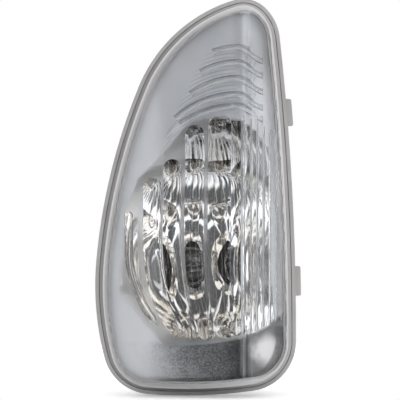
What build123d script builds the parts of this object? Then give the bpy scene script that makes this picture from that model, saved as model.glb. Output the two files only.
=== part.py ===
from build123d import *
import math
import os

os.makedirs("parts", exist_ok=True)

# All sizes are in millimetres. X runs to the right, Z up and the viewer stands at minus Y.
# Heights are measured from the plane of the screw boss faces toward the viewer.

# Front outline: joints of nine tangent arcs as (x, z), travelled anticlockwise
outline_size = 1.0
outline_joints = [
    (5.78, 83.64),
    (-32.57, 48.75),
    (-49.75, -21.45),
    (-46.40, -61.14),
    (-28.94, -75.70),
    (13.68, -74.41),
    (31.04, -54.55),
    (24.46, 68.68),
    (18.51, 80.65),
]
outline_start_angle = 196.94

# Front surface: a bent cross profile turned about a distant line across the lamp
flange_height = 30.0
lens_rise = 27.0
crest_height = flange_height + lens_rise
crest_x = 7.25
crest_radius = 9.0
left_slope = 6.0
left_radius = 250.0
right_edge = outline_size * max(x for x, z in outline_joints)
right_drop_share = 0.792
right_slope = math.degrees(math.atan(right_drop_share * lens_rise / (right_edge - crest_x)))
barrel_half_length = 80.0
barrel_drop_share = 0.2963
barrel_radius = barrel_half_length**2 / 2 / (barrel_drop_share * lens_rise)
barrel_z = -5.0

# Lens
wall_draft = 3.0
lens_wall = 2.3
foot_inset = 1.8
foot_height = 2.2
lens_inset = 2.9
lens_round = 3.2
lens_inner_round = 1.0

# Wide optical flutes: half width, then x, z along the middle line from top to bottom
flute_roundness = 1.6
wide_flutes = [
    (1.75, [(-36.5, -3.5), (-36.5, -13.0), (-36.2, -22.0), (-33.4, -33.0), (-27.0, -44.5)]),
    (3.9, [(-27.7, 8.0), (-27.7, -8.0), (-27.3, -22.0), (-24.3, -36.0), (-17.6, -48.5)]),
    (3.75, [(-19.6, 15.5), (-19.7, -4.0), (-19.6, -20.0), (-17.4, -35.0), (-12.0, -49.5)]),
    (3.95, [(-10.7, 29.0), (-10.8, 2.0), (-10.7, -18.0), (-9.2, -34.0), (-5.6, -49.5)]),
    (4.7, [(-0.6, 32.7), (-0.8, 4.0), (-0.8, -18.0), (-0.2, -34.0), (1.5, -48.0)]),
    (1.9, [(6.4, 36.0), (6.3, 4.0), (6.3, -18.0), (6.4, -34.0), (6.8, -49.5)]),
]

# Fine flutes on the sloping side face
fine_count = 6
fine_pitch = 2.55
fine_first_x = 11.3
fine_radius = 2.4
fine_top_z = 36.6
fine_top_fall = 0.57
fine_bottom_z = -50.5
fine_bottom_rise = 0.395

# Frosted pad between the wide flutes
pad_height = 0.25
pad_margin = 0.6

# Louvre beads above the flutes: z at the crest, reach to the left, radius of the left arc
louvre_band = 2.6
louvre_radius = 2.0
louvre_right_reach = 10.5
louvre_right_fall = 27.0
louvres = [
    (65.0, 10.0, 28.0),
    (59.0, 15.0, 30.0),
    (52.6, 19.0, 32.0),
    (46.2, 25.0, 37.0),
    (41.6, 29.0, 40.0),
]

# Reflector
reflector_gap = 2.3
reflector_side_gap = 0.5
reflector_wall = 1.6
reflector_round = 2.0
bulb_x = -7.75
bulb_z = -23.5
bowl_back = 16.0
bowl_focus = 26.0
bowl_skin = 2.2
bowl_rings = [0.0, 14.0, 27.0, 43.0, 64.0]
bowl_scallop = 0.55
bulb_opening = 19.0
window_round = 4.0
window_points = [
    (-39.5, -33.6),
    (-37.0, -2.0),
    (-31.6, 11.7),
    (-23.6, 19.0),
    (-14.3, 31.2),
    (-5.2, 36.9),
    (8.5, 38.1),
    (18.3, 31.0),
    (20.4, -47.0),
    (8.5, -51.8),
    (-5.7, -53.9),
    (-21.9, -54.7),
]
pin_places = [(0.0, 60.0), (-33.0, -58.0), (18.0, -60.0)]
pin_diameter = 3.0
pin_clearance = 0.1
pin_boss_diameter = 7.0
pin_share = 0.1
shoulder_height = flange_height + pin_share * lens_rise
pin_length = pin_share * lens_rise

# Housing
plate_thickness = 2.0
lip_width = 1.5
lip_height = 2.0
shell_inset = 5.4
shell_wall = 2.2
shell_taper = 4.0
back_height = 4.5
back_thickness = 2.5
back_round = 3.0
tab_reach = 2.2
tab_thickness = 2.4
tab_round = 0.8
tabs = [(38.3, 11.0), (-30.0, 12.0)]
screw_spacing = 120.0
boss_diameter = 9.5
boss_root_height = 17.0
screw_hole = 3.6
screw_depth = 14.0
vent_place = (6.0, 24.0)
vent_hole = 3.0
vent_diameter = 10.0
vent_recess = 0.6
vent_thickness = 0.4
rib_width = 1.6
rib_back = 2.4
rib_levels = [44.0, 12.0, -47.0]

# Bulb holder and its opening
opening_diameter = 25.0
lug_count = 3
lug_reach = 2.3
lug_width = 5.5
lug_thickness = 2.0
lug_play = 0.25
notch_clearance = 0.35
stop_angle = 17.5
stop_width = 2.0
grip_length = 6.0
grip_width = 2.0
collar_diameter = 36.0
collar_back = 2.0
barrel_clearance = 0.1
barrel_front = 12.0
seal_thickness = 1.5
seal_width = 2.8
flange_thickness = 2.5
flange_diameter = 34.0
twist = 45.0
socket_width = 16.4
socket_depth = 10.4
socket_wall = 1.6
socket_length = 18.0
socket_floor = 4.0
blade_width = 2.8
blade_thickness = 0.8
blade_spacing = 5.0
blade_end = 16.0
leaf_thickness = 0.5
leaf_front = 11.0

# Bulb
glass_diameter = 15.2
glass_wall = 0.7
wedge_width = 9.6
wedge_thickness = 4.6
wedge_back = 3.6
wedge_front = 12.6
glass_tip = 41.0
wedge_clearance = 0.3
lead_radius = 0.3
lead_groove = 0.2
lead_end = 9.0
filament_height = 34.0
filament_rise = 2.5
filament_radius = 0.25


def inset_outline(inset, height):
    with BuildSketch(Plane.XZ.offset(height)) as outline:
        with BuildLine():
            angle = outline_start_angle
            joints = [(x * outline_size, z * outline_size) for x, z in outline_joints]
            moved = []
            for (x0, z0), (x1, z1) in zip(joints, joints[1:] + joints[:1]):
                heading = (math.cos(math.radians(angle)), math.sin(math.radians(angle)))
                moved.append(((x0 - inset * heading[1], z0 + inset * heading[0]), heading))
                chord = math.degrees(math.atan2(z1 - z0, x1 - x0))
                angle += 2 * ((chord - angle + 180) % 360 - 180)
            for (begin, heading), (finish, _) in zip(moved, moved[1:] + moved[:1]):
                TangentArc(begin, finish, tangent=heading)
        make_face()
    return outline.sketch


def drafted_block(inset, low, top, far_inset):
    with BuildPart() as block:
        add(inset_outline(inset, low))
        add(inset_outline(far_inset, top))
        loft(ruled=True)
    return block.part


def around(center, radius, angle):
    turn = math.radians(angle)
    return (center[0] + radius * math.sin(turn), center[1] - radius * math.cos(turn))


def front_body(setback):
    # Everything behind the front surface moved back by the setback
    crest_center = (crest_x, crest_radius - crest_height)
    left_center = around(crest_center, crest_radius - left_radius, -left_slope)
    radius = crest_radius - setback
    right_start = around(crest_center, radius, right_slope)
    fall = math.radians(right_slope)
    right_end = (right_start[0] + 40 * math.cos(fall), right_start[1] + 40 * math.sin(fall))
    crest_middle = around(crest_center, radius, (right_slope - left_slope) / 2)
    left_start = around(crest_center, radius, -left_slope)
    left_middle = around(left_center, left_radius - setback, -left_slope - 8)
    left_end = around(left_center, left_radius - setback, -left_slope - 17)
    far = Axis((0, barrel_radius - crest_height, barrel_z), (1, 0, 0))
    with BuildPart() as body:
        with BuildSketch(Plane.XY.offset(barrel_z)):
            with BuildLine():
                Line(right_end, right_start)
                ThreePointArc(right_start, crest_middle, left_start)
                ThreePointArc(left_start, left_middle, left_end)
                Polyline(left_end, (left_end[0], 0), (right_end[0], 0), right_end)
            make_face()
        revolve(axis=far, revolution_arc=30)
    return body.part.rotate(far, -15)


def front_height(x, z, setback):
    # Height of the moved front surface over a point of the outline plane
    center_height = crest_height - crest_radius
    radius = crest_radius - setback
    right_start = crest_x + radius * math.sin(math.radians(right_slope))
    left_start = crest_x - radius * math.sin(math.radians(left_slope))
    if x > right_start:
        level = center_height + radius * math.cos(math.radians(right_slope))
        level -= (x - right_start) * math.tan(math.radians(right_slope))
    elif x > left_start:
        level = center_height + math.sqrt(radius**2 - (x - crest_x) ** 2)
    else:
        left_center = around((crest_x, -center_height), crest_radius - left_radius, -left_slope)
        level = math.sqrt((left_radius - setback) ** 2 - (x - left_center[0]) ** 2) - left_center[1]
    swing = level + barrel_radius - crest_height
    return math.sqrt(swing**2 - (z - barrel_z) ** 2) - barrel_radius + crest_height


def front_point(x, z, setback):
    return (x, -front_height(x, z, setback), z)


def capped_block(inset, setback, edge_round):
    # Drafted walls closed by the front surface, with the meeting edge rounded
    rise = 40.0
    far_inset = inset + rise * math.tan(math.radians(wall_draft))
    with BuildPart() as block:
        add(drafted_block(inset, flange_height, flange_height + rise, far_inset))
        add(front_body(setback), mode=Mode.INTERSECT)
        front_faces = [f for f in block.faces() if f.normal_at(f.center()).Y < -0.5]
        front_edges = [e for f in front_faces for e in f.edges()]
        rim_edges = [e for e in front_edges if front_edges.count(e) == 1]
        fillet(rim_edges, edge_round)
    return block.part


def upright(radius, low, top, place):
    # Round bar along Y from one height to another
    with BuildPart() as bar:
        with BuildSketch(Plane.XZ.offset(low)):
            with Locations(place):
                Circle(radius)
        extrude(amount=top - low)
    return bar.part


def window_prism(growth):
    # Upright block over the polished window, grown all round
    with BuildPart() as prism:
        with BuildSketch(Plane.XZ):
            with BuildLine():
                Polyline(window_points, close=True)
            make_face()
            fillet(vertices(), window_round)
            if growth:
                offset(amount=growth)
        extrude(amount=crest_height + 5)
    return prism.part


# Lens with its foot
lens_outside = capped_block(lens_inset, 0.0, lens_round)
lens_inside = capped_block(lens_inset + lens_wall, lens_wall, lens_inner_round)
flute_roots = front_body(lens_wall / 2)

with BuildPart() as lens_shell:
    add(lens_outside)
    with BuildSketch(Plane.XZ.offset(flange_height)):
        add(inset_outline(foot_inset, flange_height))
    extrude(amount=foot_height)
    add(lens_inside, mode=Mode.SUBTRACT)

# Wide flutes: round bars swept inside the lens along their middle lines
flute_bars = []
for half_width, middle_line in wide_flutes:
    bar_radius = half_width * flute_roundness
    rise = bar_radius - math.sqrt(bar_radius**2 - half_width**2)
    center_setback = lens_wall + pad_height + rise - bar_radius
    path_points = [front_point(x, z, center_setback) for x, z in middle_line]
    with BuildPart() as bar:
        with BuildLine() as path:
            Spline(path_points)
        with BuildSketch(Plane(path.line @ 0, z_dir=path.line % 0)):
            Circle(bar_radius)
        sweep()
        with Locations(path.line @ 0, path.line @ 1):
            Sphere(bar_radius)
    flute_bars.append(bar.part & flute_roots)

# Fine flutes: round bars turned about the distant line
for number in range(fine_count):
    x = fine_first_x + number * fine_pitch
    half_width = fine_pitch / 2 / math.cos(math.radians(right_slope))
    rise = fine_radius - math.sqrt(fine_radius**2 - half_width**2)
    center_setback = lens_wall + rise - fine_radius
    top_z = fine_top_z - fine_top_fall * (x - fine_first_x)
    bottom_z = fine_bottom_z + fine_bottom_rise * (x - fine_first_x)
    ends = [front_point(x, z, center_setback) for z in (top_z, (top_z + bottom_z) / 2, bottom_z)]
    with BuildPart() as bar:
        with BuildLine() as path:
            ThreePointArc(*ends)
        with BuildSketch(Plane(path.line @ 0, z_dir=path.line % 0)):
            Circle(fine_radius)
        sweep()
    flute_bars.append(bar.part & flute_roots)

# Louvre beads: round bars that bend over the crest
louvre_fall = math.tan(math.radians(louvre_right_fall))
for band_z, left_reach, arc_radius in louvres:
    half_width = louvre_band / 2
    rise = louvre_radius - math.sqrt(louvre_radius**2 - half_width**2)
    center_setback = lens_wall + rise - louvre_radius
    line = []
    for share in (1, 0.55):
        x = louvre_right_reach * share
        line.append((crest_x + x, band_z - half_width - louvre_fall * x))
    for share in (0, 0.2, 0.6, 1):
        x = left_reach * share
        drop = arc_radius - math.sqrt(arc_radius**2 - x**2)
        line.append((crest_x - x, band_z - half_width - drop))
    path_points = [front_point(x, z, center_setback) for x, z in line]
    with BuildPart() as bar:
        with BuildLine() as path:
            Spline(path_points)
        with BuildSketch(Plane(path.line @ 0, z_dir=path.line % 0)):
            Circle(louvre_radius)
        sweep()
    flute_bars.append(bar.part & flute_roots)

# Frosted pad: a thin raised layer under the wide flutes
pad_layer = flute_roots - front_body(lens_wall + pad_height)
flute_bars.append(window_prism(pad_margin) & pad_layer)

with BuildPart() as lens:
    add(lens_shell.part)
    for bar in flute_bars:
        add(bar & lens_outside)

export_step(lens.part, "parts/lens.step")


# Reflector: satin front shell, polished bowl behind the window and pin bosses
reflector_inset = lens_inset + lens_wall + reflector_side_gap
reflector_setback = lens_wall + reflector_gap
reflector_outside = capped_block(reflector_inset, reflector_setback, reflector_round)
shell_back = front_body(reflector_setback + reflector_wall)
reflector_inside = capped_block(
    reflector_inset + reflector_wall, reflector_setback + reflector_wall, reflector_round / 2
)


def bowl_height(radius, back):
    return back + radius**2 / 4 / bowl_focus


def bowl_space(back):
    # Space in front of a parabola turned about the bulb axis, scalloped in rings
    with BuildPart() as space:
        with BuildSketch(Plane.XY.offset(bulb_z)):
            with BuildLine():
                for near, far in zip(bowl_rings, bowl_rings[1:]):
                    middle = (near + far) / 2
                    slope = math.atan(middle / 2 / bowl_focus)
                    middle_x = bulb_x + middle + bowl_scallop * math.sin(slope)
                    middle_y = bowl_scallop * math.cos(slope) - bowl_height(middle, back)
                    ThreePointArc(
                        (bulb_x + near, -bowl_height(near, back)),
                        (middle_x, middle_y),
                        (bulb_x + far, -bowl_height(far, back)),
                    )
                rim = -bowl_height(bowl_rings[-1], back)
                Line((bulb_x + bowl_rings[-1], rim), (bulb_x, rim))
                Line((bulb_x, rim), (bulb_x, -back))
            make_face()
        revolve(axis=Axis((bulb_x, 0, bulb_z), (0, 1, 0)))
    return space.part


bowl_cavity = window_prism(0) & bowl_space(bowl_back)
bowl_outside = window_prism(reflector_wall) & bowl_space(bowl_back - bowl_skin)

with BuildPart() as reflector:
    add(reflector_outside)
    add(reflector_inside, mode=Mode.SUBTRACT)
    add(bowl_outside & front_body(reflector_setback))
    for place in pin_places:
        add(upright(pin_boss_diameter / 2, shoulder_height, crest_height, [place]) & shell_back)
        hole_top = shoulder_height + pin_length + 0.3
        add(
            upright(pin_diameter / 2 + pin_clearance, shoulder_height, hole_top, [place]),
            mode=Mode.SUBTRACT,
        )
    add(bowl_cavity, mode=Mode.SUBTRACT)
    add(upright(bulb_opening / 2, 0, bowl_back + 5, [(bulb_x, bulb_z)]), mode=Mode.SUBTRACT)

export_step(reflector.part, "parts/reflector.step")

# Housing: flange plate with lip and tabs, drafted rear shell, bosses and bulb opening
plate_back = flange_height - plate_thickness
back_inset = shell_inset + shell_taper
back_inside = back_height + back_thickness
bulb_place = (bulb_x, bulb_z)
screw_places = [(0, screw_spacing / 2), (0, -screw_spacing / 2)]
opening_radius = opening_diameter / 2

with BuildPart() as rear_shell:
    add(drafted_block(back_inset, back_height, flange_height, shell_inset))
    back_face = rear_shell.faces().sort_by(Axis.Y)[-1]
    fillet(back_face.edges(), back_round)

rear_cavity = drafted_block(back_inset + shell_wall, back_inside, flange_height, shell_inset + shell_wall)

with BuildPart() as housing:
    add(rear_shell.part)
    with BuildSketch(Plane.XZ.offset(plate_back)):
        add(inset_outline(0, plate_back))
    extrude(amount=plate_thickness + lip_height)
    with BuildSketch(Plane.XZ.offset(flange_height)):
        add(inset_outline(lip_width, flange_height))
    extrude(amount=lip_height, mode=Mode.SUBTRACT)
    for tab_z, tab_length in tabs:
        with BuildSketch(Plane.XZ.offset(flange_height - tab_thickness)):
            add(inset_outline(-tab_reach, flange_height - tab_thickness))
            with Locations((right_edge, tab_z)):
                Rectangle(10 * tab_reach, tab_length, mode=Mode.INTERSECT)
            fillet(vertices().sort_by(Axis.X)[-2:], tab_round)
        extrude(amount=tab_thickness)
    add(rear_cavity, mode=Mode.SUBTRACT)
    for rib_z in rib_levels:
        with BuildSketch(Plane.XZ.offset(rib_back)):
            with Locations((0, rib_z)):
                Rectangle(120, rib_width)
            add(inset_outline(back_inset + back_round, rib_back), mode=Mode.INTERSECT)
        extrude(amount=back_inside - rib_back)
    with BuildSketch(Plane.XZ.offset(rib_back)):
        Rectangle(rib_width, screw_spacing)
    extrude(amount=back_inside - rib_back)
    add(upright(boss_diameter / 2, 0, boss_root_height, screw_places))
    add(upright(pin_boss_diameter / 2, back_inside, shoulder_height, pin_places))
    add(upright(pin_diameter / 2, shoulder_height, shoulder_height + pin_length, pin_places))
    add(upright(collar_diameter / 2, collar_back, back_inside, [bulb_place]))
    add(upright(opening_radius, collar_back, back_inside, [bulb_place]), mode=Mode.SUBTRACT)
    with BuildSketch(Plane.XZ.offset(collar_back)):
        with Locations(bulb_place):
            with PolarLocations(0, lug_count, start_angle=90 - twist):
                Rectangle(
                    opening_radius - barrel_clearance + lug_reach + notch_clearance,
                    lug_width + 2 * notch_clearance,
                    align=(Align.MIN, Align.CENTER),
                )
    extrude(amount=back_thickness + back_height - collar_back, mode=Mode.SUBTRACT)
    with BuildSketch(Plane.XZ.offset(back_inside)):
        with Locations(bulb_place):
            with PolarLocations(opening_radius + 0.2, lug_count, start_angle=90 + stop_angle):
                Rectangle(lug_reach + 0.5, stop_width, align=(Align.MIN, Align.CENTER))
    extrude(amount=lug_play + lug_thickness)
    add(upright(screw_hole / 2, 0, screw_depth, screw_places), mode=Mode.SUBTRACT)
    add(upright(vent_hole / 2, back_height, back_inside, [vent_place]), mode=Mode.SUBTRACT)
    add(
        upright(vent_diameter / 2 + 0.2, back_height, back_height + vent_recess, [vent_place]),
        mode=Mode.SUBTRACT,
    )

export_step(housing.part, "parts/housing.step")

membrane_back = back_height + vent_recess - vent_thickness
vent_membrane = upright(vent_diameter / 2, membrane_back, back_height + vent_recess, [vent_place])
export_step(vent_membrane, "parts/vent_membrane.step")

# Contacts: connector blade, jog and leaf spring in one strip, one each side of the bulb base
flange_front = collar_back - seal_thickness
flange_back = flange_front - flange_thickness
leaf_inner = wedge_thickness / 2 + 2 * lead_radius - lead_groove
leaf_outer = leaf_inner + leaf_thickness
pocket_floor = wedge_back - 2 * lead_radius + lead_groove
jog_front = pocket_floor - 1.0
jog_back = jog_front - blade_thickness
half_blade = blade_thickness / 2


def contact(side):
    with BuildPart() as strip:
        with BuildSketch(Plane.YZ.offset(bulb_x + side * blade_spacing / 2)):
            with BuildLine():
                Polyline(
                    (flange_back * -1 + blade_end - flange_thickness, bulb_z + side * half_blade),
                    (-jog_front, bulb_z + side * half_blade),
                    (-jog_front, bulb_z - side * leaf_inner),
                    (-leaf_front, bulb_z - side * leaf_inner),
                    (-leaf_front, bulb_z - side * leaf_outer),
                    (-jog_back, bulb_z - side * leaf_outer),
                    (-jog_back, bulb_z - side * half_blade),
                    (flange_back * -1 + blade_end - flange_thickness, bulb_z - side * half_blade),
                    close=True,
                )
            make_face()
        extrude(amount=blade_width / 2, both=True)
    return strip.part


contact_left = contact(-1)
contact_right = contact(1)
export_step(contact_left, "parts/contact_left.step")
export_step(contact_right, "parts/contact_right.step")

# Bulb holder: barrel with lugs, flange, connector shroud and the pocket for the bulb base
barrel_radius_small = opening_radius - barrel_clearance
lug_back = back_inside + lug_play
shroud_end = flange_back - socket_length
with BuildPart() as bulb_holder:
    add(upright(barrel_radius_small, flange_back, barrel_front, [bulb_place]))
    add(upright(flange_diameter / 2, flange_back, flange_front, [bulb_place]))
    with BuildSketch(Plane.XZ.offset(lug_back)):
        with Locations(bulb_place):
            with PolarLocations(0, lug_count, start_angle=90):
                Rectangle(
                    barrel_radius_small + lug_reach, lug_width, align=(Align.MIN, Align.CENTER)
                )
    extrude(amount=lug_thickness)
    with BuildSketch(Plane.XZ.offset(flange_back - grip_length)):
        with Locations(bulb_place):
            Rectangle(flange_diameter - 3, grip_width)
    extrude(amount=grip_length)
    with BuildSketch(Plane.XZ.offset(shroud_end)):
        with Locations(bulb_place):
            RectangleRounded(socket_width, socket_depth, 1.2)
            with Locations((0, socket_depth / 2)):
                Rectangle(5.0, 2.4)
    extrude(amount=socket_length)
    with BuildSketch(Plane.XZ.offset(shroud_end)):
        with Locations(bulb_place):
            RectangleRounded(socket_width - 2 * socket_wall, socket_depth - 2 * socket_wall, 0.6)
    extrude(amount=socket_length - socket_floor, mode=Mode.SUBTRACT)
    with BuildSketch(Plane.XZ.offset(pocket_floor)):
        with Locations(bulb_place):
            Rectangle(wedge_width + 2 * wedge_clearance, 2 * leaf_outer)
    extrude(amount=barrel_front - pocket_floor, mode=Mode.SUBTRACT)
    add(contact_left, mode=Mode.SUBTRACT)
    add(contact_right, mode=Mode.SUBTRACT)

export_step(bulb_holder.part, "parts/bulb_holder.step")

seal_inner = opening_radius + 0.1
with BuildPart() as holder_seal:
    add(upright(seal_inner + seal_width, flange_front, collar_back, [bulb_place]))
    add(upright(seal_inner, flange_front, collar_back, [bulb_place]), mode=Mode.SUBTRACT)
export_step(holder_seal.part, "parts/holder_seal.step")


# Bulb: two bent leads, filament and a hollow glass envelope with a flat base
def lead(side):
    x = bulb_x + side * blade_spacing / 2
    face_z = bulb_z - side * (leaf_inner - lead_radius)
    under = -pocket_floor - lead_radius
    with BuildPart() as wire:
        with BuildLine() as path:
            FilletPolyline(
                (x, -filament_height, bulb_z),
                (x, under, bulb_z),
                (x, under, face_z),
                (x, -lead_end, face_z),
                radius=2 * lead_radius,
            )
        with BuildSketch(Plane(path.line @ 0, z_dir=path.line % 0)):
            Circle(lead_radius)
        sweep()
    return wire.part


lead_left = lead(-1)
lead_right = lead(1)
export_step(lead_left, "parts/bulb_lead_left.step")
export_step(lead_right, "parts/bulb_lead_right.step")

filament_reach = blade_spacing / 2
filament_foot = filament_height - 1.0
with BuildPart() as filament:
    with BuildLine() as path:
        ThreePointArc(
            (bulb_x - filament_reach, -filament_foot, bulb_z),
            (bulb_x, -filament_foot - filament_rise, bulb_z),
            (bulb_x + filament_reach, -filament_foot, bulb_z),
        )
    with BuildSketch(Plane(path.line @ 0, z_dir=path.line % 0)):
        Circle(filament_radius)
    sweep()
    add(lead_left, mode=Mode.SUBTRACT)
    add(lead_right, mode=Mode.SUBTRACT)
export_step(filament.part, "parts/bulb_filament.step")


def envelope(inset):
    # Turned glass shape: neck, straight tube and round tip, moved inward by the inset
    radius = glass_diameter / 2 - inset
    tip = glass_tip - inset
    shoulder = tip - radius
    neck = wedge_front + inset * 1.5
    with BuildPart() as glass:
        with BuildSketch(Plane.XY.offset(bulb_z)):
            with BuildLine():
                Line((bulb_x, -tip), (bulb_x, -neck))
                Line((bulb_x, -neck), (bulb_x + radius * 0.6, -neck))
                Line((bulb_x + radius * 0.6, -neck), (bulb_x + radius, -neck - 4.0))
                Line((bulb_x + radius, -neck - 4.0), (bulb_x + radius, -shoulder))
                ThreePointArc(
                    (bulb_x + radius, -shoulder),
                    (bulb_x + radius * math.sqrt(0.5), -shoulder - radius * math.sqrt(0.5)),
                    (bulb_x, -tip),
                )
            make_face()
        revolve(axis=Axis((bulb_x, 0, bulb_z), (0, 1, 0)))
    return glass.part


with BuildPart() as bulb_glass:
    add(envelope(0))
    with BuildSketch(Plane.XZ.offset(wedge_back)):
        with Locations(bulb_place):
            Rectangle(wedge_width, wedge_thickness)
    extrude(amount=wedge_front - wedge_back)
    add(envelope(glass_wall), mode=Mode.SUBTRACT)
    add(lead_left, mode=Mode.SUBTRACT)
    add(lead_right, mode=Mode.SUBTRACT)
export_step(bulb_glass.part, "parts/bulb_glass.step")
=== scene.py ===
import bpy
import math
import numpy as np
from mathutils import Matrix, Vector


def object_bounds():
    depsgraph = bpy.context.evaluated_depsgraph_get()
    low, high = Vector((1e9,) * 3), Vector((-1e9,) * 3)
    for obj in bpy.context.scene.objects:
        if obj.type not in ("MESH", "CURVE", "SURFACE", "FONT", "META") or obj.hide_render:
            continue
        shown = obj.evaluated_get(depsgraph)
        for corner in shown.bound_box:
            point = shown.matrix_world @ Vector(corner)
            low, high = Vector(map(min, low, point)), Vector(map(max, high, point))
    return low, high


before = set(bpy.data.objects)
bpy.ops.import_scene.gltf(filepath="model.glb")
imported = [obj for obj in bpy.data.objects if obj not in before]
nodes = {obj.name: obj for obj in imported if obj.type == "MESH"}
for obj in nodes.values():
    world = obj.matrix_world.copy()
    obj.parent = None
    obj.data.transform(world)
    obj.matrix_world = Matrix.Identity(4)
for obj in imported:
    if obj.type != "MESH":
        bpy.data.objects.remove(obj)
cad_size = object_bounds()

# Front form of the lamp in millimetres, as in the solids: it sorts faces into surface finishes
OUTLINE = [
    (5.78, 83.64), (-32.57, 48.75), (-49.75, -21.45), (-46.40, -61.14), (-28.94, -75.70),
    (13.68, -74.41), (31.04, -54.55), (24.46, 68.68), (18.51, 80.65),
]
START_ANGLE = math.radians(196.94)
OUTLINE_STEP = 1.5
CREST_X, CREST_HEIGHT, CREST_RADIUS = 7.25, 57.0, 9.0
LEFT_SLOPE, LEFT_RADIUS = math.radians(6.0), 250.0
RIGHT_SLOPE = math.radians(42.0)
BARREL_RADIUS, BARREL_Z = 400.0, -5.0
LENS_WALL, PAD_HEIGHT, REFLECTOR_SETBACK = 2.3, 0.25, 4.6

# Louvres: height at the crest, reach to the left and radius of the bend there, in millimetres
LOUVRES = [
    (65.0, 10.0, 28.0), (59.0, 15.0, 30.0), (52.6, 19.0, 32.0), (46.2, 25.0, 37.0), (41.6, 29.0, 40.0),
]
LOUVRE_BAND, LOUVRE_REACH, LOUVRE_FALL = 2.6, 10.5, math.radians(27.0)
LOUVRE_MARGIN, LOUVRE_SHARE = 1.0, 0.75

# Where the finishes of reflector and lens part, in millimetres
BOWL_DEPTH, SHELL_RIGHT = 1.0, 28.0
EDGE_WIDTH, INNER_EDGE, INNER_DEPTH = 6.4, (5.2, 7.2), (1.2, 4.0)
FINE_LEFT, FINE_FIRST_X, FINE_DEPTH = CREST_X + 2.7, 11.3, 1.7
FINE_TOP, FINE_TOP_FALL, FINE_BOTTOM, FINE_BOTTOM_RISE = 38.5, 0.57, -52.0, 0.395
BEAD_FOOT_X, BEAD_FOOT_Z, BEAD_FOOT_FALL, BEAD_DEPTH = -12.0, 29.0, 1.1, 0.02
PAD_MARGIN = 0.07
CLEAR, FROSTED, EDGE, FINE, LOUVRE, INNER = range(6)

# How nearly a face looks along the front's normal there: one is exactly along it
PAD_FACING, EDGE_FACING, INNER_FACING = 0.99, 0.995, 0.9995

# Noise scales of the patches of colour and of roughness in every finish
COLOR_PATCHES, ROUGH_PATCHES = 70.0, 189.0

LENS_IOR, BULB_IOR = 1.49, 1.47

# Tones of the polished bowl, at places in metres: painted shade toward the bottom, a painted highlight right
# of the crest and a painted dark band there
BOWL_PAINTED_SHADE, BOWL_WANDER, PAINTED_BAND_WANDER = (-0.020, -0.038), 0.012, 0.008
HIGHLIGHT_RIGHT_OF_CREST = (0.008, 0.012)
PAINTED_BAND_LOWER, PAINTED_BAND_UPPER, PAINTED_BAND_HALF, PAINTED_BAND_EDGE = -0.0315, -0.0155, 0.0048, 0.001
PAINTED_BAND_SIDE = (0.0115, 0.0125)

# Tones of the satin shell: zone under the flutes darkened by painted shade, its painted highlight patch, and
# painted shade on the upper right part
ZONE_TOP, ZONE_BEND_X, ZONE_RISE = -0.0534, -0.008, 10.6
ZONE_LEFT, ZONE_LEAN, ZONE_WANDER, ZONE_EDGE = (-0.076, -0.048), 0.6, 0.008, (0.0004, -0.0016)
ZONE_METAL, SHELL_METAL = 0.85, 0.5
HIGHLIGHT_X, HIGHLIGHT_Z, HIGHLIGHT_SQUEEZE, HIGHLIGHT_FADE = 0.0185, -0.0575, 1.25, (0.0092, 0.0025)
SHADE_UPPER_X, SHADE_UPPER_Z = (0.004, 0.010), (0.044, 0.062)

# Fine painted shade and highlight lines on the satin shell between the louvres, left of the crest
LINE_RADIUS, LINE_STEP = 0.036, 0.0016
LINES_BOTTOM, LINES_TOP = (0.0375, 0.0395), (0.066, 0.063)
LINES_REACH, LINES_REACH_FALL, LINES_FADE = 0.0625, 0.81, 0.003

# Sides of the clear strip in the frosted pad: upright X, bend, and the height where the bend starts
STRIP_LEFT, STRIP_RIGHT = (-0.0366, 14.2, -0.018), (-0.0325, 6.5, -0.012)
STRIP_TOP, STRIP_LEFT_EDGE, STRIP_RIGHT_EDGE = (-0.0030, -0.0050), (-0.0002, 0.0002), (0.0003, -0.0003)
STRIP_CLEARNESS, PAD_CLEARNESS = 0.98, 0.85

# Studio: dark rooms as ranges of |X| and Z of the direction and width of their edge, and light levels
DARK_ROOMS = [
    (-1.0, 0.42, -0.48, 0.57, 0.07), (0.66, 0.91, -0.36, 0.32, 0.02),
    (-1.0, 0.60, -0.80, -0.66, 0.07), (-1.0, 0.40, 0.72, 0.84, 0.07),
]
ROOM_LEVEL, BOX_LEVEL, BOX_TILT = 0.15, 1.80, 0.2
POLES, POLE_SHARE = (0.84, 0.95), 0.5
PLAIN_LEVEL, PLAIN_TILT, PLAIN_RISE = 0.95, 0.05, 0.18
LIGHT_TINT = (0.985, 0.995, 1.02)
BACKDROP = (-0.15, 0.0)

# Floor and camera, in metres, and the focal length in millimetres
FLOOR_X, FLOOR_Y, FLOOR_RADIUS, FLOOR_SIDES, FLOOR_GLOW = -0.0085, 0.14, 0.2, 96, 0.3
CAMERA_PLACE, CAMERA_LENS, CAMERA_REACH = (-0.0078, -1.03, 0.0028), 222.0, 50


def outline_points():
    """Points along the outline, whose arcs meet tangentially."""
    points, angle = [], START_ANGLE
    for (x0, z0), (x1, z1) in zip(OUTLINE, OUTLINE[1:] + OUTLINE[:1]):
        chord = math.atan2(z1 - z0, x1 - x0)
        half = (chord - angle + math.pi) % (2 * math.pi) - math.pi
        length = math.hypot(x1 - x0, z1 - z0)
        radius = length / 2 / math.sin(half)
        count = max(2, math.ceil(length / OUTLINE_STEP))
        cx, cz = x0 - radius * math.sin(angle), z0 + radius * math.cos(angle)
        for i in range(count):
            turned = angle + 2 * half * i / count
            points.append((cx + radius * math.sin(turned), cz - radius * math.cos(turned)))
        angle += 2 * half
    return np.array(points)


def rim_distance(x, z):
    loop, points = outline_points(), np.stack([x, z], -1)
    best = np.full(len(points), np.inf)
    for a, b in zip(loop, np.roll(loop, -1, 0)):
        along = b - a
        share = np.clip(((points - a) @ along) / (along @ along), 0, 1)
        best = np.minimum(best, np.linalg.norm(points - a - share[:, None] * along, axis=1))
    return best


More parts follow.
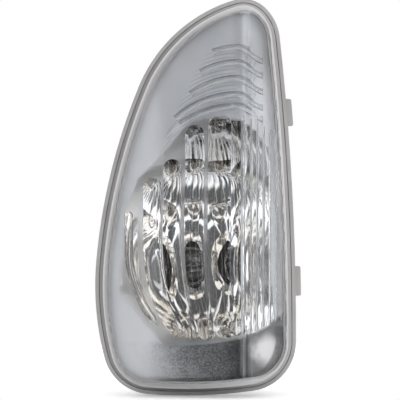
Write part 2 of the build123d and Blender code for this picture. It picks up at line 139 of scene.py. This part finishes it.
def front_height(x, z, setback):
    """Height of the bent front, or of the surface that lies the setback behind it."""
    radius = CREST_RADIUS - setback
    right = CREST_X + radius * math.sin(RIGHT_SLOPE)
    left = CREST_X - radius * math.sin(LEFT_SLOPE)
    base = CREST_HEIGHT - CREST_RADIUS
    slope = base + radius * math.cos(RIGHT_SLOPE) - (x - right) * math.tan(RIGHT_SLOPE)
    crest = base + np.sqrt(np.clip(radius**2 - (x - CREST_X) ** 2, 0, None))
    center_x = CREST_X - (CREST_RADIUS - LEFT_RADIUS) * math.sin(LEFT_SLOPE)
    center_y = -base - (CREST_RADIUS - LEFT_RADIUS) * math.cos(LEFT_SLOPE)
    side = np.sqrt((LEFT_RADIUS - setback) ** 2 - (x - center_x) ** 2) - center_y
    level = np.where(x > right, slope, np.where(x > left, crest, side))
    swing = level + BARREL_RADIUS - CREST_HEIGHT
    return np.sqrt(swing**2 - (z - BARREL_Z) ** 2) - BARREL_RADIUS + CREST_HEIGHT


def front_normal(x, z):
    step = 0.05
    slope_x = (front_height(x + step, z, 0) - front_height(x - step, z, 0)) / (2 * step)
    slope_z = (front_height(x, z + step, 0) - front_height(x, z - step, 0)) / (2 * step)
    normal = np.stack([-slope_x, -np.ones(len(x)), -slope_z], -1)
    return normal / np.linalg.norm(normal, axis=1)[:, None]


def on_louvre(x, z):
    found, run = np.zeros(len(x), bool), x - CREST_X
    for level, reach, radius in LOUVRES:
        drop = radius - np.sqrt(np.clip(radius**2 - run**2, 0, None))
        line = level - LOUVRE_BAND / 2 - np.where(run > 0, run * math.tan(LOUVRE_FALL), drop)
        along = (run > -reach - LOUVRE_MARGIN) & (run < LOUVRE_REACH + LOUVRE_MARGIN)
        found |= (np.abs(z - line) < LOUVRE_BAND * LOUVRE_SHARE) & along
    return found


def faces_of(name):
    """X, height, Z and normal of each face of a node, in millimetres."""
    mesh = nodes[name].data
    place, normal = np.zeros(len(mesh.polygons) * 3), np.zeros(len(mesh.polygons) * 3)
    mesh.polygons.foreach_get("center", place)
    mesh.polygons.foreach_get("normal", normal)
    place, normal = place.reshape(-1, 3) * 1000, normal.reshape(-1, 3)
    return place[:, 0], -place[:, 1], place[:, 2], normal


def sort_reflector():
    """Polished bowl behind the window, satin front shell."""
    x, height, z, _ = faces_of("reflector")
    shell = front_height(np.minimum(x, SHELL_RIGHT), z, REFLECTOR_SETBACK)
    polished = height < shell - BOWL_DEPTH
    nodes["reflector"].data.polygons.foreach_set("material_index", polished.astype(np.int32))


def sort_lens():
    """Clear front and flutes, frosted pad between the flutes, louvres, and the thick edge."""
    x, height, z, normal = faces_of("lens")
    front = front_normal(x, z)
    facing = np.abs((front * normal).sum(1))
    setback = (front_height(x, z, 0) - height) * np.abs(front[:, 1])
    inset = rim_distance(x, z)
    pad_setback = LENS_WALL + PAD_HEIGHT
    pad = (np.abs(setback - pad_setback) < PAD_MARGIN) & (facing > PAD_FACING)
    inner = (inset > INNER_EDGE[0]) & (inset < INNER_EDGE[1]) & (facing < INNER_FACING)
    inner &= (setback > INNER_DEPTH[0]) & (setback < INNER_DEPTH[1])
    fluted = (x > FINE_LEFT) & (z < FINE_TOP - FINE_TOP_FALL * (x - FINE_FIRST_X))
    fluted &= (z > FINE_BOTTOM + FINE_BOTTOM_RISE * (x - FINE_FIRST_X)) & (setback > FINE_DEPTH)
    bead = (setback > LENS_WALL + BEAD_DEPTH) & on_louvre(x, z)
    bead &= z > BEAD_FOOT_Z - BEAD_FOOT_FALL * (x - BEAD_FOOT_X)
    kind = np.full(len(x), CLEAR, np.int32)
    kind[pad] = FROSTED
    kind[(inset < EDGE_WIDTH) & (facing < EDGE_FACING)] = EDGE
    kind[inner] = INNER
    kind[(kind == CLEAR) & fluted] = FINE
    kind[(kind == CLEAR) & bead] = LOUVRE
    nodes["lens"].data.polygons.foreach_set("material_index", kind)


class Tree:
    """Short ways to add and join the nodes of one material or world."""

    def __init__(self, owner):
        owner.use_nodes = True
        self.owner = owner
        self.tree = owner.node_tree
        self.shader = self.tree.nodes.get("Principled BSDF")

    def feed(self, slot, term):
        """Join another socket to a socket, or set it to a number or a colour."""
        if isinstance(term, bpy.types.NodeSocket):
            self.tree.links.new(term, slot)
        elif isinstance(term, tuple):
            slot.default_value = (*term, 1)
        else:
            slot.default_value = term

    def add(self, kind, terms=None, **settings):
        made = self.tree.nodes.new("ShaderNode" + kind)
        for key, value in settings.items():
            setattr(made, key, value)
        for key, term in (terms or {}).items():
            self.feed(made.inputs[key], term)
        return made

    def axes(self, kind="Object"):
        """X, Y and Z of the place on the part, or of its normal."""
        return self.add("SeparateXYZ", {"Vector": self.add("TexCoord").outputs[kind]}).outputs

    def rays(self):
        """One for camera rays, and one for rays that a surface mirrors or refracts."""
        path = self.add("LightPath").outputs
        return path["Is Camera Ray"], self.larger(path["Is Glossy Ray"], path["Is Transmission Ray"])

    def noise(self, scale, detail=2.0, roughness=0.5):
        place = self.add("TexCoord").outputs["Object"]
        terms = {"Vector": place, "Scale": scale, "Detail": detail, "Roughness": roughness}
        return self.add("TexNoise", terms).outputs["Fac"]

    def span(self, value, low, high, start=0.0, end=1.0):
        """Smooth change from start to end while the value goes from low to high."""
        terms = {"Value": value, "From Min": low, "From Max": high, "To Min": start, "To Max": end}
        return self.add("MapRange", terms, interpolation_type="SMOOTHSTEP").outputs["Result"]

    def band(self, value, low, high, edge):
        """One between low and high, with a soft edge inside each of them."""
        return self.times(self.span(value, low, low + edge), self.span(value, high, high - edge))

    def math(self, operation, *terms):
        return self.add("Math", dict(enumerate(terms)), operation=operation).outputs[0]

    def times(self, first, *others):
        for other in others:
            first = self.math("MULTIPLY", first, other)
        return first

    def larger(self, first, *others):
        for other in others:
            first = self.math("MAXIMUM", first, other)
        return first

    def plus(self, first, second):
        return self.math("ADD", first, second)

    def minus(self, first, second):
        return self.math("SUBTRACT", first, second)

    def square(self, value):
        return self.times(value, value)

    def scaled(self, value, factor, shift):
        return self.math("MULTIPLY_ADD", value, factor, shift)

    def mix(self, share, first, second):
        """From the first number to the second."""
        return self.add("Mix", {"Factor": share, "A": first, "B": second}).outputs[0]

    def blend(self, share, first, second):
        """From the first colour to the second."""
        made = self.add("Mix", {0: share}, data_type="RGBA")
        slots = [slot for slot in made.inputs if slot.type == "RGBA"]
        for slot, color in zip(slots, (first, second)):
            self.feed(slot, color)
        return next(slot for slot in made.outputs if slot.type == "RGBA")

    def now(self, name):
        """What feeds an input of the shader so far."""
        return self.shader.inputs[name].links[0].from_socket

    def use(self, name, term):
        self.feed(self.shader.inputs[name], term)

    def bump(self, height, strength, distance):
        made = self.add("Bump", {"Height": height, "Strength": strength, "Distance": distance})
        self.use("Normal", made.outputs[0])


def finish(name, color, tint, roughness, grain=None, metallic=0.0, transmission=0.0, ior=1.5):
    """Base colour drifting toward a tint, roughness in patches and a fine grain as relief."""
    tree = Tree(bpy.data.materials.new(name))
    tree.use("Metallic", metallic)
    tree.use("Transmission Weight", transmission)
    tree.use("IOR", ior)
    drift = tree.span(tree.noise(COLOR_PATCHES, 3.0), 0.3, 0.7)
    tree.use("Base Color", tree.blend(drift, color, tint))
    tree.use("Roughness", tree.span(tree.noise(ROUGH_PATCHES, 4.0), 0.3, 0.7, *roughness))
    if grain:
        scale, strength, depth = grain
        tree.bump(tree.noise(scale, 3.0, 0.6), strength, depth)
    return tree


def lens_clear():
    return finish(
        "lens_clear", (1.0, 1.0, 1.0), (0.985, 0.99, 0.995), (0.0, 0.02),
        grain=(130.0, 0.12, 0.0002), transmission=1.0, ior=LENS_IOR,
    )


def strip_side(tree, x, z, side):
    """Distance to the right of one side of the clear strip."""
    upright_x, bend, bend_z = side
    below = tree.larger(tree.minus(bend_z, z), 0.0)
    return tree.minus(x, tree.scaled(tree.square(below), bend, upright_x))


def lens_frosted():
    """Frosted pad, with a clear strip between the outer left flute and the next one."""
    tree = finish(
        "lens_frosted", (0.94, 0.95, 0.97), (0.90, 0.915, 0.935), (0.5, 0.6),
        grain=(2400.0, 0.3, 0.00008), transmission=PAD_CLEARNESS, ior=LENS_IOR,
    )
    x, _, z = tree.axes()
    left = tree.span(strip_side(tree, x, z, STRIP_LEFT), *STRIP_LEFT_EDGE)
    right = tree.span(strip_side(tree, x, z, STRIP_RIGHT), *STRIP_RIGHT_EDGE)
    strip = tree.times(left, right, tree.span(z, *STRIP_TOP))
    tree.use("Roughness", tree.mix(strip, tree.now("Roughness"), 0.03))
    tree.use("Transmission Weight", tree.span(strip, 0.0, 1.0, PAD_CLEARNESS, STRIP_CLEARNESS))
    return tree


def lens_edge():
    """Thick edge of the lens with painted shade: its front is darker than its side, most of all on the left.
    """
    tree = finish(
        "lens_edge", (0.88, 0.865, 0.86), (0.83, 0.815, 0.81), (0.5, 0.6),
        grain=(90.0, 0.1, 0.0001), transmission=0.3, ior=LENS_IOR,
    )
    tree.use("Specular IOR Level", 0.15)
    x, _, _ = tree.axes()
    _, forward, _ = tree.axes("Normal")
    # Painted shade: front-facing faces get a darker colour, darkest on the left.
    front = tree.blend(tree.span(x, -0.02, 0.02), (0.47, 0.46, 0.455), (0.72, 0.705, 0.70))
    shaded_facing = tree.span(tree.math("ABSOLUTE", forward), 0.25, 0.95)
    tree.use("Base Color", tree.blend(shaded_facing, tree.now("Base Color"), front))
    return tree


def lens_fine_flutes():
    return finish(
        "lens_fine_flutes", (0.98, 0.985, 0.995), (0.96, 0.97, 0.98), (0.03, 0.06),
        grain=(900.0, 0.1, 0.00004), transmission=0.86, ior=LENS_IOR,
    )


def lens_louvres():
    """Beads with painted shade on their lower flanks and a painted white highlight on their upper ones."""
    tree = finish(
        "lens_louvres", (0.42, 0.44, 0.48), (1.0, 1.0, 1.0), (0.1, 0.16),
        grain=(900.0, 0.12, 0.00005), transmission=0.7, ior=LENS_IOR,
    )
    _, _, upward = tree.axes("Normal")
    # Painted shade and highlight follow how far the normal points up.
    flank_shade_and_highlight = tree.now("Base Color").node
    tree.feed(flank_shade_and_highlight.inputs[0], tree.span(upward, -0.35, 0.35))
    return tree


# Inner edge of the lens: a whiter, less clear copy of the edge finish, painted light where it lies in shade
# behind the clear front.
def lens_inner_edge():
    return finish(
        "lens_inner_edge", (0.97, 0.965, 0.965), (0.93, 0.925, 0.925), (0.5, 0.6),
        grain=(90.0, 0.1, 0.0001), transmission=0.2, ior=LENS_IOR,
    )


def reflector_chrome():
    """Polished bowl: rougher and darker toward the bottom, the darkening painted shade; right of the crest a
    painted highlight, with a painted dark band.
    """
    tree = finish("reflector_chrome", (0.75, 0.76, 0.78), (0.69, 0.665, 0.63), (0.02, 0.045), metallic=1.0)
    tree.bump(tree.noise(55.0, 0.0), 0.25, 0.0009)
    x, _, z = tree.axes()
    wander = tree.noise(90.0)
    # Painted shade: the colour darkens toward the bottom.
    low = tree.span(tree.scaled(wander, BOWL_WANDER, z), *BOWL_PAINTED_SHADE)
    # Painted reflection: a dark band right of the crest, between two wandering heights.
    level = tree.scaled(wander, PAINTED_BAND_WANDER, z)
    ends = [
        tree.band(level, middle - PAINTED_BAND_HALF, middle + PAINTED_BAND_HALF, PAINTED_BAND_EDGE)
        for middle in (PAINTED_BAND_UPPER, PAINTED_BAND_LOWER)
    ]
    between = tree.times(tree.band(level, PAINTED_BAND_LOWER, PAINTED_BAND_UPPER, PAINTED_BAND_EDGE), 0.6)
    step = tree.times(tree.larger(*ends, between), tree.span(x, *PAINTED_BAND_SIDE))
    color = tree.blend(low, tree.now("Base Color"), (0.52, 0.505, 0.485))
    # Painted highlight: a brighter colour right of the crest.
    color = tree.blend(tree.span(x, *HIGHLIGHT_RIGHT_OF_CREST), color, (0.93, 0.94, 0.96))
    tree.use("Base Color", tree.blend(step, color, (0.10, 0.105, 0.115)))
    tree.use("Roughness", tree.mix(low, tree.now("Roughness"), 0.05))
    return tree


def below_flutes(tree, x, z):
    """Zone under the flutes with a wandering edge, the way across it, and its painted highlight patch."""
    wander = tree.scaled(tree.noise(120.0, 3.0, 0.6), ZONE_WANDER, -ZONE_WANDER / 2)
    across = tree.plus(x, wander)
    past_bend = tree.larger(tree.minus(x, ZONE_BEND_X), 0.0)
    top = tree.scaled(tree.square(past_bend), ZONE_RISE, ZONE_TOP)
    above = tree.minus(tree.plus(z, tree.times(wander, 0.3)), top)
    left = tree.span(tree.scaled(z, ZONE_LEAN, x), *ZONE_LEFT)
    highlight_x = tree.times(tree.minus(across, HIGHLIGHT_X), HIGHLIGHT_SQUEEZE)
    highlight_z = tree.minus(z, HIGHLIGHT_Z)
    far = tree.math("SQRT", tree.plus(tree.square(highlight_x), tree.square(highlight_z)))
    return tree.times(tree.span(above, *ZONE_EDGE), left), across, tree.span(far, *HIGHLIGHT_FADE)


def painted_louvre_lines(tree, x, z):
    """Shares of the fine dark painted-shade lines and pale painted-highlight lines that run parallel to the
    louvres.
    """
    run = tree.larger(tree.minus(CREST_X / 1000, x), 0.0)
    chord = tree.larger(tree.scaled(tree.square(run), -1.0, LINE_RADIUS**2), 0.0)
    level = tree.minus(tree.plus(z, LINE_RADIUS), tree.math("SQRT", chord))
    beyond = tree.minus(run, tree.scaled(level, -LINES_REACH_FALL, LINES_REACH))
    reached = tree.times(tree.span(beyond, LINES_FADE, -LINES_FADE), tree.span(run, 0.0, 0.0015))
    lined = tree.times(reached, tree.span(level, *LINES_BOTTOM), tree.span(level, *LINES_TOP))
    ripple = tree.math("SINE", tree.times(level, math.tau / LINE_STEP))
    dark = tree.times(lined, tree.span(ripple, 0.2, 0.9, 0.0, 0.5))
    pale = tree.times(lined, tree.span(ripple, -0.2, -0.9, 0.0, 0.8))
    return dark, pale


def reflector_satin():
    """Satin shell: shinier and coarsely grained under the flutes, its colour there darkened by painted shade
    with a painted highlight patch; painted fine shade and highlight lines above.
    """
    tree = finish(
        "reflector_satin", (0.93, 0.94, 0.96), (0.87, 0.885, 0.91), (0.52, 0.62),
        grain=(1900.0, 0.35, 0.00008), metallic=SHELL_METAL,
    )
    x, _, z = tree.axes()
    zone, across, painted_highlight = below_flutes(tree, x, z)
    grit = tree.span(tree.noise(1500.0, 4.0, 0.7), 0.40, 0.64)
    patches = tree.times(tree.span(tree.noise(210.0, 3.0, 0.6), 0.42, 0.72), tree.span(across, 0.006, -0.012))
    # Painted shade: the zone's colours are dark, with grit and paler patches in them.
    speckled_shade = tree.blend(grit, (0.17, 0.17, 0.175), (0.48, 0.485, 0.495))
    speckled_shade = tree.blend(patches, speckled_shade, (0.46, 0.47, 0.48))
    # Painted shade: nearly black right of the crest.
    speckled_shade = tree.blend(tree.span(across, 0.000, 0.012), speckled_shade, (0.07, 0.07, 0.073))
    # Painted highlight: the bright patch.
    speckled_shade = tree.blend(tree.times(painted_highlight, 0.78), speckled_shade, (0.78, 0.77, 0.76))
    # Painted shade and painted highlight lines along the louvres.
    dark, pale = painted_louvre_lines(tree, x, z)
    # Painted shade on the upper right part.
    upper_right_shade = tree.times(tree.span(x, *SHADE_UPPER_X), tree.span(z, *SHADE_UPPER_Z))
    color = tree.blend(zone, tree.now("Base Color"), speckled_shade)
    color = tree.blend(dark, color, (0.60, 0.62, 0.66))
    color = tree.blend(pale, color, (1.0, 1.0, 1.0))
    tree.use("Base Color", tree.blend(upper_right_shade, color, (0.66, 0.675, 0.70)))
    tree.use("Roughness", tree.mix(zone, tree.now("Roughness"), 0.3))
    tree.use("Metallic", tree.span(zone, 0.0, 1.0, SHELL_METAL, ZONE_METAL))
    return tree


def give(name, *finishes):
    mesh = nodes[name].data
    mesh.materials.clear()
    for tree in finishes:
        mesh.materials.append(tree.owner)


def light_studio(scene):
    """White backdrop behind; mirrors and glass see light boxes round dark rooms, the rest a plain level."""
    scene.world = bpy.data.worlds.new("studio")
    sky = Tree(scene.world)
    for unused in list(sky.tree.nodes):
        sky.tree.nodes.remove(unused)
    x, y, z = sky.axes("Generated")
    side, steep = sky.math("ABSOLUTE", x), sky.math("ABSOLUTE", z)
    rooms = []
    for x_low, x_high, z_low, z_high, edge in DARK_ROOMS:
        across = sky.band(side, x_low - edge, x_high + edge, edge)
        rooms.append(sky.times(across, sky.band(z, z_low - edge, z_high + edge, edge)))
    lit = sky.larger(sky.minus(1.0, sky.larger(*rooms)), 0.0)
    boxes = sky.plus(sky.times(lit, sky.scaled(x, BOX_TILT, BOX_LEVEL)), ROOM_LEVEL)
    boxes = sky.times(boxes, sky.span(steep, *POLES, 1.0, POLE_SHARE))
    plain = sky.scaled(z, PLAIN_RISE, sky.scaled(x, PLAIN_TILT, PLAIN_LEVEL))
    seen, mirrored = sky.rays()
    level = sky.mix(mirrored, plain, boxes)
    red, green, blue = (sky.times(level, share) for share in LIGHT_TINT)
    tone = sky.add("CombineColor", {0: red, 1: green, 2: blue})
    light = sky.add("Background", {"Color": tone.outputs[0], "Strength": 1.0})
    white = sky.add("Background", {"Color": (1.0, 1.0, 1.0), "Strength": 1.0})
    backdrop = sky.larger(seen, sky.times(mirrored, sky.span(y, *BACKDROP)))
    mixed = sky.add("MixShader", {0: backdrop, 1: light.outputs[0], 2: white.outputs[0]})
    sky.add("OutputWorld", {"Surface": mixed.outputs[0]})


def lay_floor(scene):
    """Pale round floor under the lamp."""
    lowest = float(min(cad_size[0][2], cad_size[1][2]))
    turns = [math.tau * i / FLOOR_SIDES for i in range(FLOOR_SIDES)]
    rim = [
        (FLOOR_X + FLOOR_RADIUS * math.cos(turn), FLOOR_Y + FLOOR_RADIUS * math.sin(turn), lowest)
        for turn in turns
    ]
    mesh = bpy.data.meshes.new("floor")
    mesh.from_pydata(rim, [], [tuple(range(FLOOR_SIDES))])
    floor = bpy.data.objects.new("floor", mesh)
    scene.collection.objects.link(floor)
    tree = Tree(bpy.data.materials.new("floor_pale"))
    tree.use("Roughness", 0.9)
    tree.use("Specular IOR Level", 0.1)
    tree.use("Base Color", tree.blend(tree.noise(40.0, 3.0), (0.88, 0.88, 0.88), (0.85, 0.85, 0.85)))
    tree.use("Emission Color", (1.0, 1.0, 1.0))
    tree.use("Emission Strength", tree.times(tree.larger(*tree.rays()), FLOOR_GLOW))
    mesh.materials.append(tree.owner)


def set_camera(scene):
    camera_data = bpy.data.cameras.new("camera")
    camera = bpy.data.objects.new("camera", camera_data)
    scene.collection.objects.link(camera)
    camera.location = CAMERA_PLACE
    camera.rotation_euler = (math.radians(90), 0, 0)
    camera_data.lens = CAMERA_LENS
    camera_data.sensor_width = 36.0
    camera_data.clip_end = CAMERA_REACH
    scene.camera = camera


# Lamp body
give("housing", finish(
    "housing_plastic", (0.50, 0.485, 0.47), (0.44, 0.425, 0.415), (0.38, 0.5), grain=(2600.0, 0.25, 0.00006),
))
give("lens", lens_clear(), lens_frosted(), lens_edge(), lens_fine_flutes(), lens_louvres(), lens_inner_edge())
give("reflector", reflector_satin(), reflector_chrome())
give("vent_membrane", finish(
    "membrane", (0.80, 0.80, 0.78), (0.72, 0.72, 0.70), (0.75, 0.9), grain=(3200.0, 0.5, 0.0001),
))
sort_reflector()
sort_lens()

# Bulb socket
give("bulb_holder", finish(
    "holder_plastic", (0.03, 0.03, 0.032), (0.045, 0.045, 0.048), (0.42, 0.56), grain=(2200.0, 0.3, 0.00006),
))
give("holder_seal", finish(
    "seal_rubber", (0.018, 0.018, 0.018), (0.03, 0.03, 0.03), (0.7, 0.85), grain=(1500.0, 0.4, 0.00008),
))
brass = finish(
    "contact_brass", (0.80, 0.66, 0.38), (0.68, 0.55, 0.32), (0.22, 0.35),
    grain=(1800.0, 0.15, 0.00003), metallic=1.0,
)
wire = finish(
    "bulb_wire", (0.62, 0.60, 0.57), (0.50, 0.48, 0.46), (0.25, 0.4),
    grain=(2500.0, 0.15, 0.00002), metallic=1.0,
)
for side in ("left", "right"):
    give("contact_" + side, brass)
    give("bulb_lead_" + side, wire)
give("bulb_filament", finish(
    "filament_wire", (0.30, 0.30, 0.31), (0.22, 0.22, 0.23), (0.35, 0.5),
    grain=(5200.0, 0.6, 0.0001), metallic=1.0,
))
give("bulb_glass", finish(
    "bulb_glass", (0.985, 0.965, 0.93), (0.96, 0.93, 0.88), (0.0, 0.02),
    grain=(110.0, 0.2, 0.0003), transmission=1.0, ior=BULB_IOR,
))

# Light, floor and camera
scene = bpy.context.scene
scene.view_settings.view_transform = "Standard"
light_studio(scene)
lay_floor(scene)
set_camera(scene)
